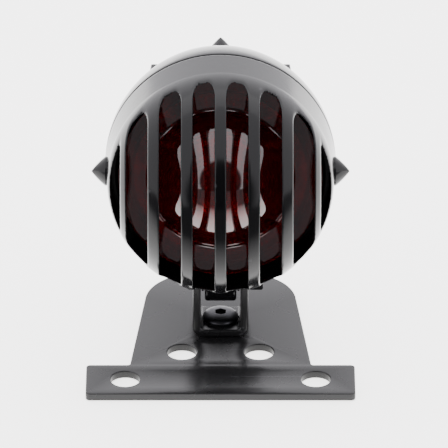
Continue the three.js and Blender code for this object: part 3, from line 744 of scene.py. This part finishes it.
def lens_mesh():
    """A clear dome on a nearly flat brim and a flange, with fine rings moulded inside."""
    ring_pitch, ring_height = 1.3, 0.04
    outside = lens_dome(0, 0)
    inside = []
    travelled, last = 0.0, None
    for radius, y in lens_dome(LENS_WALL, LENS_BACK):
        travelled += math.dist((radius, y), last) if last else 0.0
        last = (radius, y)
        ripple = ring_height * (0.5 + 0.5 * math.cos(2 * math.pi * travelled / ring_pitch))
        inside.append((radius, y - ripple))
    foot = outside[-1][0]
    brim = rounded([
        (foot - 3, -5.4, 0),
        (foot + 0.3, 1.3, 1.6),
        (LENS_BRIM_RADIUS, LENS_FLANGE_FRONT, 0.6),
        (LENS_FLANGE_RADIUS, LENS_FLANGE_FRONT, 0.2),
        (LENS_FLANGE_RADIUS, LENS_BACK, 0.2),
        (inside[-1][0], LENS_BACK, 0),
    ], 6)
    profile = [point for point in outside if point[1] < brim[1][1]] + brim[1:-1] + inside[::-1]
    profile[0] = (0.0, profile[0][1])
    profile[-1] = (0.0, profile[-1][1])
    vertices, faces = revolved(profile, 128)
    return mesh_of("lens", vertices, faces, HEAD, 50)


def gasket_mesh():
    """A flat rubber ring with round edges, behind the lens's flange."""
    inner, outer, edge = 26, 29.3, 0.45
    front = LENS_BACK + HOLE_CLEARANCE
    back = front + 1
    corners = ((inner, front), (outer, front), (outer, back), (inner, back))
    profile = rounded([(radius, y, edge) for radius, y in corners], 4)
    vertices, faces = revolved(profile + profile[:1], 96)
    return mesh_of("gasket", vertices, faces, HEAD)


def reflector_mesh():
    """A fluted dish with a rolled rim, open in the middle for the bulb."""
    rim, throat, rim_y, throat_y, wall = 24.6, 9.2, 5.4, 21.0, 0.8
    flute_count, flute_depth, rings, segments = 24, 0.7, 28, 192
    vertices, faces = [], []
    for side in (0, 1):
        for ring in range(rings + 1):
            radius = rim + (throat - rim) * ring / rings
            depth = (rim**2 - radius**2) / (rim**2 - throat**2)
            fade = math.sin(math.pi * ring / rings)
            for k in range(segments):
                angle = 2 * math.pi * k / segments
                flute = flute_depth * fade * abs(math.sin(flute_count * angle / 2))
                y = rim_y + (throat_y - rim_y) * depth + side * wall - flute / 2
                vertices.append((radius * math.sin(angle), y, radius * math.cos(angle)))
    per_side = (rings + 1) * segments
    for side in (0, 1):
        for ring in range(rings):
            for k in range(segments):
                a = side * per_side + ring * segments + k
                b = side * per_side + ring * segments + (k + 1) % segments
                faces.append((a, b, b + segments, a + segments))
    for ring in (0, rings):
        for k in range(segments):
            a = ring * segments + k
            b = ring * segments + (k + 1) % segments
            faces.append((a, b, b + per_side, a + per_side))
    return mesh_of("reflector", vertices, faces, HEAD, 25)


def grommet_mesh():
    """A rubber outlet with a groove for the housing's wall and a ribbed sleeve."""
    inner_face, outer_face, bore = 50.5, 53.2, 1.8
    ribs = []
    for k in range(3):
        start = outer_face + 2.0 + k
        ribs += [(3.5 - 0.2 * k, start, 0.15), (3.5 - 0.2 * k, start + 0.5, 0.15)]
        ribs += [(2.9 - 0.1 * k, start + 0.6, 0.1), (2.9 - 0.1 * k, start + 0.9, 0.1)]
    profile = rounded([
        (bore, inner_face - 2, 0.3),
        (5.2, inner_face - 2, 0.5),
        (5.2, inner_face, 0.3),
        (3.75, inner_face, 0.2),
        (3.75, outer_face, 0.2),
        (5.6, outer_face, 0.3),
        (5.6, outer_face + 1.4, 0.6),
        (3.6, outer_face + 1.8, 0.2),
        *ribs,
        (bore, outer_face + 5, 0.2),
    ], 4)
    vertices, faces = revolved(profile + profile[:1], 64)
    return mesh_of("grommet", vertices, faces, HEAD)


def bulb_glass_mesh():
    """The blown envelope, open at its neck, where the base holds it."""
    bulge_radius, bulge_y, neck_radius, wall = 12.4, 1.5, 6.6, 0.6

    def shell(inset):
        front = arc(bulge_radius - inset, -12 + inset, bulge_y, math.pi / 2, 0, 24)
        flank = []
        for step in range(1, 17):
            share = step / 16
            eased = share * share * (3 - 2 * share)
            radius = bulge_radius + (neck_radius - bulge_radius) * eased - inset
            flank.append((radius, bulge_y + 14 * share))
        return [*front, *flank, (neck_radius - inset, 19.3)]

    outside, inside = shell(0), shell(wall)[::-1]
    profile = [*outside, *inside]
    profile[0] = (0.0, profile[0][1])
    profile[-1] = (0.0, profile[-1][1])
    vertices, faces = revolved(profile, 64)
    return mesh_of("bulb_glass", vertices, faces, HEAD)


# ---- Build ----
def build_pieces():
    def show(node, mesh, body, slot):
        finished(node, mesh, MATERIALS[slot], body)

    show("base_plate", plate_mesh(), "base", "satin_black")
    screw = settled("swivel_screw", swivel_screw_field, 0.16, CLEVIS)
    show("swivel_screw", screw, "base", "black_steel")
    clevis = settled("clevis_bracket", clevis_field, 0.28, CLEVIS)
    show("clevis_bracket", clevis, "clevis", "satin_black")
    bolt = settled("pivot_bolt", pivot_bolt_field, 0.18, PIVOT)
    show("pivot_bolt", bolt, "clevis", "black_steel")
    nut = settled("pivot_nut", pivot_nut_field, 0.18, PIVOT)
    show("pivot_nut", nut, "clevis", "black_steel")
    for side in ("left", "right"):
        washer = "pivot_washer_" + side
        show(washer, washer_mesh(washer), "clevis", "zinc_plate")
    show("mount_lug", settled("mount_lug", lug_field, 0.3, HEAD), "head", "gloss_black")
    show("housing_shell", housing_mesh(), "head", "gloss_black")
    for index in range(STUD_COUNT):
        node = f"housing_stud_{index + 1}"
        stud = spike_mesh(node, STUD_BASE_RADIUS, STUD_HEIGHT, 0.35, stud_matrix(index))
        show(node, stud, "head", "gloss_black")
    seat = SKIRT_BACK_RADIUS - 0.1
    for side, word in ((-1, "left"), (1, "right")):
        place = Matrix.Translation((side * seat, SPIKE_Y, 0))
        turn = Matrix.Rotation(-side * math.pi / 2, 4, "Z")
        node = "grille_screw_" + word
        screw = spike_mesh(node, SCREW_BASE_RADIUS, SCREW_TIP_X - seat, 0.5, HEAD @ place @ turn)
        show(node, screw, "head", "gloss_black")
    grille = settled("grille_cover", grille_field, 0.38, HEAD)
    show("grille_cover", grille, "head", "gloss_black")
    show("red_lens", lens_mesh(), "head", "red_lens")
    show("lens_gasket", gasket_mesh(), "head", "black_rubber")
    show("reflector", reflector_mesh(), "head", "bright_reflector")
    show("cable_grommet", grommet_mesh(), "head", "black_rubber")
    show("bulb_glass", bulb_glass_mesh(), "bulb", "clear_glass")


# ---- Studio ----
def build_floor():
    """A pale floor, a little darker in front of the light."""
    bpy.ops.mesh.primitive_plane_add(size=6, location=(0, 0, -0.0002))
    floor = bpy.context.object
    floor.name = "studio_floor"
    material, nodes, links, shader = new_material("studio_floor", (0.9, 0.9, 0.9), 0.8)
    shader.inputs["Specular IOR Level"].default_value = 0.1
    shader.inputs["Emission Color"].default_value = (1, 0.99, 0.965, 1)
    coordinates = nodes.new("ShaderNodeTexCoord")
    split = nodes.new("ShaderNodeSeparateXYZ")
    links.new(coordinates.outputs["Object"], split.inputs["Vector"])
    distance = span(nodes, links, split.outputs["Y"], 0, 1, -0.11, -0.035)
    links.new(mixed(nodes, links, distance, (0.15, 0.15, 0.15), (0.9, 0.9, 0.9)),
              shader.inputs["Base Color"])
    links.new(span(nodes, links, distance, 0, 2.8, 0, 1), shader.inputs["Emission Strength"])
    floor.data.materials.append(material)


def build_sky():
    """A bright tent all round, with a dark opening in front that the light faces."""
    opening = (0, -0.966, 0.259)
    world = bpy.data.worlds.new("studio")
    bpy.context.scene.world = world
    world.use_nodes = True
    nodes, links = world.node_tree.nodes, world.node_tree.links
    coordinates = nodes.new("ShaderNodeTexCoord")
    facing = nodes.new("ShaderNodeVectorMath")
    facing.operation = "DOT_PRODUCT"
    facing.inputs[1].default_value = opening
    links.new(coordinates.outputs["Generated"], facing.inputs[0])
    brightness = span(nodes, links, facing.outputs["Value"], 2.6, 0.12, 0.8, 0.84)
    nodes["Background"].inputs["Color"].default_value = (0.975, 0.96, 1, 1)
    links.new(brightness, nodes["Background"].inputs["Strength"])


def build_light():
    """A weak softbox above and behind the light."""
    location, target = Vector((0, 0.33, 0.62)), Vector((0, 0.01, 0.05))
    light = bpy.data.lights.new("top_softbox", "AREA")
    light.shape = "RECTANGLE"
    light.size, light.size_y = 0.9, 0.28
    light.energy = 0.8
    lamp = bpy.data.objects.new("top_softbox", light)
    bpy.context.scene.collection.objects.link(lamp)
    lamp.location = location
    lamp.rotation_euler = (target - location).to_track_quat("-Z", "Y").to_euler()


def build_camera():
    """A long lens, 30 degrees above the plate, straight in front."""
    elevation, distance = math.radians(30), 2.1
    target = Vector((0.0010, 0.005, 0.0511))
    back = Vector((0, -math.cos(elevation), math.sin(elevation)))
    camera = bpy.data.cameras.new("camera")
    camera.lens, camera.sensor_width = 590, 36
    eye = bpy.data.objects.new("camera", camera)
    bpy.context.scene.collection.objects.link(eye)
    eye.location = target + back * distance
    eye.rotation_euler = (-back).to_track_quat("-Z", "Y").to_euler()
    bpy.context.scene.camera = eye


build_camera()
paint_cad_nodes()
build_pieces()
build_floor()
build_sky()
build_light()
